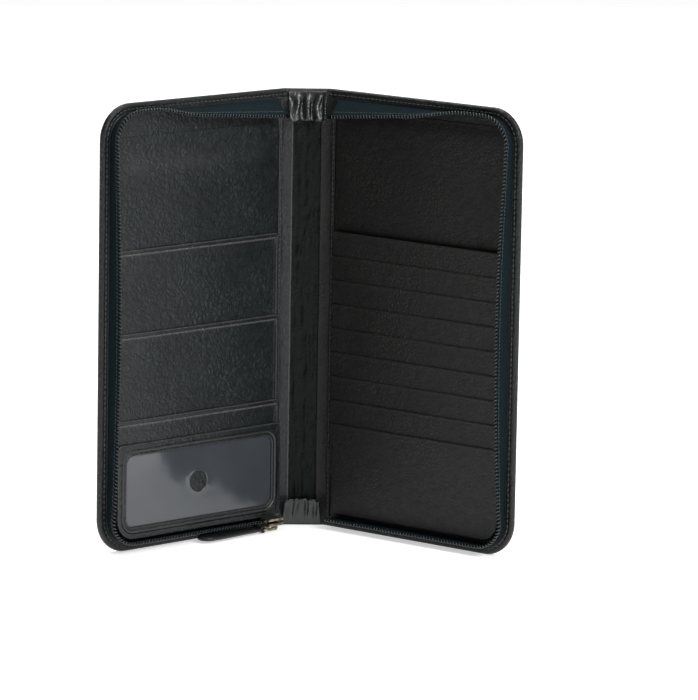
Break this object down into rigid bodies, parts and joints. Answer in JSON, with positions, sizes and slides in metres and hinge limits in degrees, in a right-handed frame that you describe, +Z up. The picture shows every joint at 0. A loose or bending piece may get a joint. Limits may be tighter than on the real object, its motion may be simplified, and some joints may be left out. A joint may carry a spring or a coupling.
{
  "type": "travel document organizer",
  "caption": "Zip-round leather travel document organizer that stands open like a book, with stepped pockets, an ID window and card slots.",
  "frame": {"origin": "on the surface the organizer stands on, under the middle of its bounding box in the half-open rest pose", "axes": "+Z up along the spine, -Y towards the open side, where a viewer sees the pockets, +X towards the cover with the card slots"},
  "size_m": [0.2306, 0.0942, 0.248],
  "materials": {
    "cover_leather": "full-grain black leather, semi-matt with a soft sheen",
    "inner_leather": "fine pebbled black leather",
    "slot_leather": "smooth black leather",
    "lining_leather": "thin soft black lining leather",
    "board": "raw fibreboard",
    "zip_tape": "woven polyester tape",
    "zip_teeth": "glossy nylon coil",
    "aged_brass": "antique brass, worn",
    "clear_vinyl": "clear vinyl"
  },
  "bodies": {
    "spine": {"spine_leather": "cover_leather", "spine_stiffener": "board", "spine_lining": "lining_leather", "top_gusset_tab": "inner_leather", "bottom_gusset_tab": "inner_leather"},
    "left_cover": {"left_cover_leather": "cover_leather", "left_cover_board": "board", "left_lining": "lining_leather", "left_inner_binding": "inner_leather", "left_document_pocket": "inner_leather", "left_passport_pocket": "inner_leather", "left_ticket_pocket": "inner_leather", "left_boarding_pass_pocket": "inner_leather", "id_window_vinyl": "clear_vinyl", "id_window_frame": "inner_leather", "left_zip_tape": "zip_tape", "left_zip_chain": "zip_teeth", "left_zip_top_stop": "aged_brass", "zip_bottom_stop": "aged_brass"},
    "right_cover": {"right_cover_leather": "cover_leather", "right_exterior_pocket": "cover_leather", "right_cover_board": "board", "right_lining": "lining_leather", "right_inner_binding": "slot_leather", "right_document_pocket": "slot_leather", "card_slot_1": "slot_leather", "card_slot_2": "slot_leather", "card_slot_3": "slot_leather", "card_slot_4": "slot_leather", "card_slot_5": "slot_leather", "card_slot_6": "slot_leather", "card_slot_7": "slot_leather", "card_slot_8": "slot_leather", "card_slot_9": "slot_leather", "right_zip_tape": "zip_tape", "right_zip_chain": "zip_teeth", "right_zip_top_stop": "aged_brass"},
    "slider": {"zip_slider": "aged_brass"},
    "link": {"puller_link": "aged_brass"},
    "pull": {"leather_pull": "cover_leather"}
  },
  "joints": [
    {"name": "left_fold", "type": "hinge", "parent": "spine", "child": "left_cover", "pos_m": [-0.01385, 0.04708, 0.124], "axis": [0, 0, 1], "range_deg": [-40.3, 49.7]},
    {"name": "right_fold", "type": "hinge", "parent": "spine", "child": "right_cover", "pos_m": [0.01385, 0.04708, 0.124], "axis": [0, 0, -1], "range_deg": [-40.3, 49.7]},
    {"name": "slider_travel", "type": "slide", "parent": "left_cover", "child": "slider", "axis": [-0.7627, -0.6468, 0], "range_m": [0, 0.092]},
    {"name": "link_swing", "type": "hinge", "parent": "slider", "child": "link", "pos_m": [-0.01667, 0.02652, 0.0025], "axis": [0.6468, -0.7627, 0], "range_deg": [0, 100]},
    {"name": "pull_swing", "type": "hinge", "parent": "link", "child": "pull", "pos_m": [-0.0243, 0.02006, 0.0025], "axis": [0.6468, -0.7627, 0], "range_deg": [0, 60]}
  ]
}
